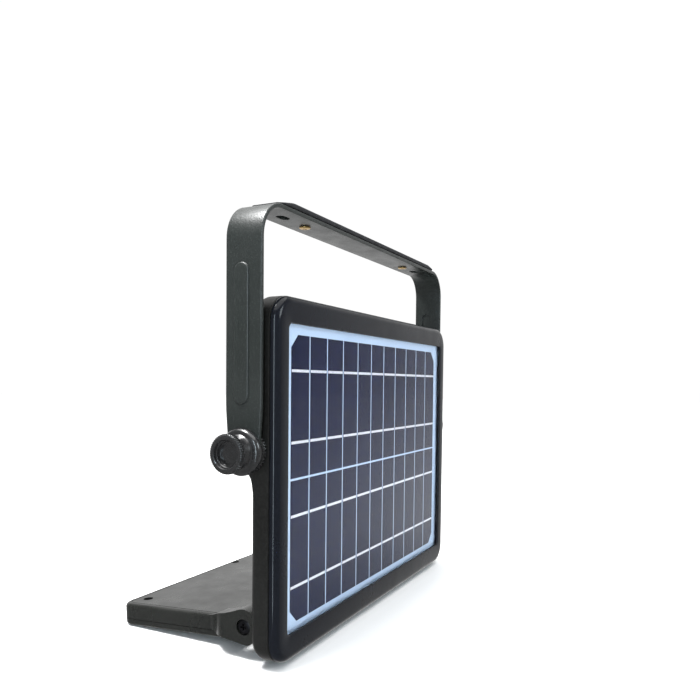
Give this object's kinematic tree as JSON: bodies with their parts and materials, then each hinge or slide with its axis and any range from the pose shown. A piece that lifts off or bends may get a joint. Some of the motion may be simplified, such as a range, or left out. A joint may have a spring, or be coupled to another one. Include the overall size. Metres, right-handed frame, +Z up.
{
  "type": "portable solar flood light",
  "caption": "Portable flood light: solar panel housing with a bent steel bracket handle on hand knobs, and a flat LED lamp head hinged behind its lower edge.",
  "frame": {"origin": "centre of the housing's flat underside, below the middle of the solar panel", "axes": "+X along the housing's width, +Y out of the housing's back towards the folded-out lamp head, +Z up the housing"},
  "size_m": [0.3014, 0.128, 0.2502],
  "materials": {
    "housing_black": "satin moulded black",
    "bracket_black": "fine textured black powder coat",
    "rubber_black": "matte black",
    "knob_black": "satin moulded black",
    "steel": "zinc plated",
    "brass": "machined",
    "aluminium": "plain rolled sheet",
    "reflector_white": "white moulded",
    "panel_white": "white backing sheet",
    "cell_blue": "coated silicon, dark blue",
    "board_green": "circuit board lacquer",
    "battery_wrap": "shrink sleeve over a metal can",
    "clear": "clear, polished"
  },
  "bodies": {
    "housing": {"front_bezel": "housing_black", "rear_shell": "housing_black", "shell_screw_1": "steel", "shell_screw_2": "steel", "shell_screw_3": "steel", "shell_screw_4": "steel", "solar_glass": "clear", "solar_gasket": "rubber_black", "solar_cells_upper": "cell_blue", "solar_cells_lower": "cell_blue", "solar_backsheet": "panel_white", "junction_block": "rubber_black", "battery_cover": "housing_black", "cover_screw_1": "steel", "cover_screw_2": "steel", "cover_screw_3": "steel", "cover_screw_4": "steel", "battery_cell_1": "battery_wrap", "battery_cell_2": "battery_wrap", "battery_cell_3": "battery_wrap", "battery_tray": "rubber_black", "control_board": "board_green", "usb_port": "steel", "indicator_lens": "clear", "lock_disc_left": "knob_black", "lock_disc_right": "knob_black", "pivot_insert_left": "brass", "pivot_insert_right": "brass"},
    "button": {"power_button": "rubber_black"},
    "socket_flap": {"port_cover": "rubber_black"},
    "bracket": {"bracket_strap": "bracket_black", "handle_grip": "rubber_black", "grip_screw_left": "brass", "grip_screw_right": "brass"},
    "left_knob": {"knob_left": "knob_black", "knob_stud_left": "steel"},
    "right_knob": {"knob_right": "knob_black", "knob_stud_right": "steel"},
    "lamp_head": {"head_rear_shell": "housing_black", "head_front_frame": "housing_black", "head_lens": "clear", "lens_seal": "rubber_black", "reflector": "reflector_white", "led_board": "reflector_white", "heat_spreader": "aluminium", "head_screw_1": "steel", "head_screw_2": "steel", "head_screw_3": "steel", "head_screw_4": "steel", "head_screw_5": "steel", "head_screw_6": "steel", "hinge_screw_left": "steel", "hinge_screw_right": "steel", "friction_washer_left": "steel", "friction_washer_right": "steel"}
  },
  "joints": [
    {"name": "bracket_tilt", "type": "hinge", "parent": "housing", "child": "bracket", "pos_m": [0, 0.0089, 0.1144], "axis": [1, 0, 0], "range_deg": [-100, 145]},
    {"name": "head_fold", "type": "hinge", "parent": "housing", "child": "lamp_head", "pos_m": [0, 0.019, 0.0158], "axis": [1, 0, 0], "range_deg": [-75, 93.8]},
    {"name": "left_knob_turn", "type": "hinge", "parent": "housing", "child": "left_knob", "pos_m": [-0.1355, 0.0089, 0.1144], "axis": [-1, 0, 0], "continuous": true},
    {"name": "right_knob_turn", "type": "hinge", "parent": "housing", "child": "right_knob", "pos_m": [0.1355, 0.0089, 0.1144], "axis": [1, 0, 0], "continuous": true},
    {"name": "power_button_press", "type": "slide", "parent": "housing", "child": "button", "axis": [0, -1, 0], "range_m": [0, 0.0015], "stiffness_N_per_m": 400, "springref_m": -0.002},
    {"name": "socket_flap_hinge", "type": "hinge", "parent": "housing", "child": "socket_flap", "pos_m": [0.07, 0.028, 0.171], "axis": [-1, 0, 0], "range_deg": [0, 90]}
  ]
}
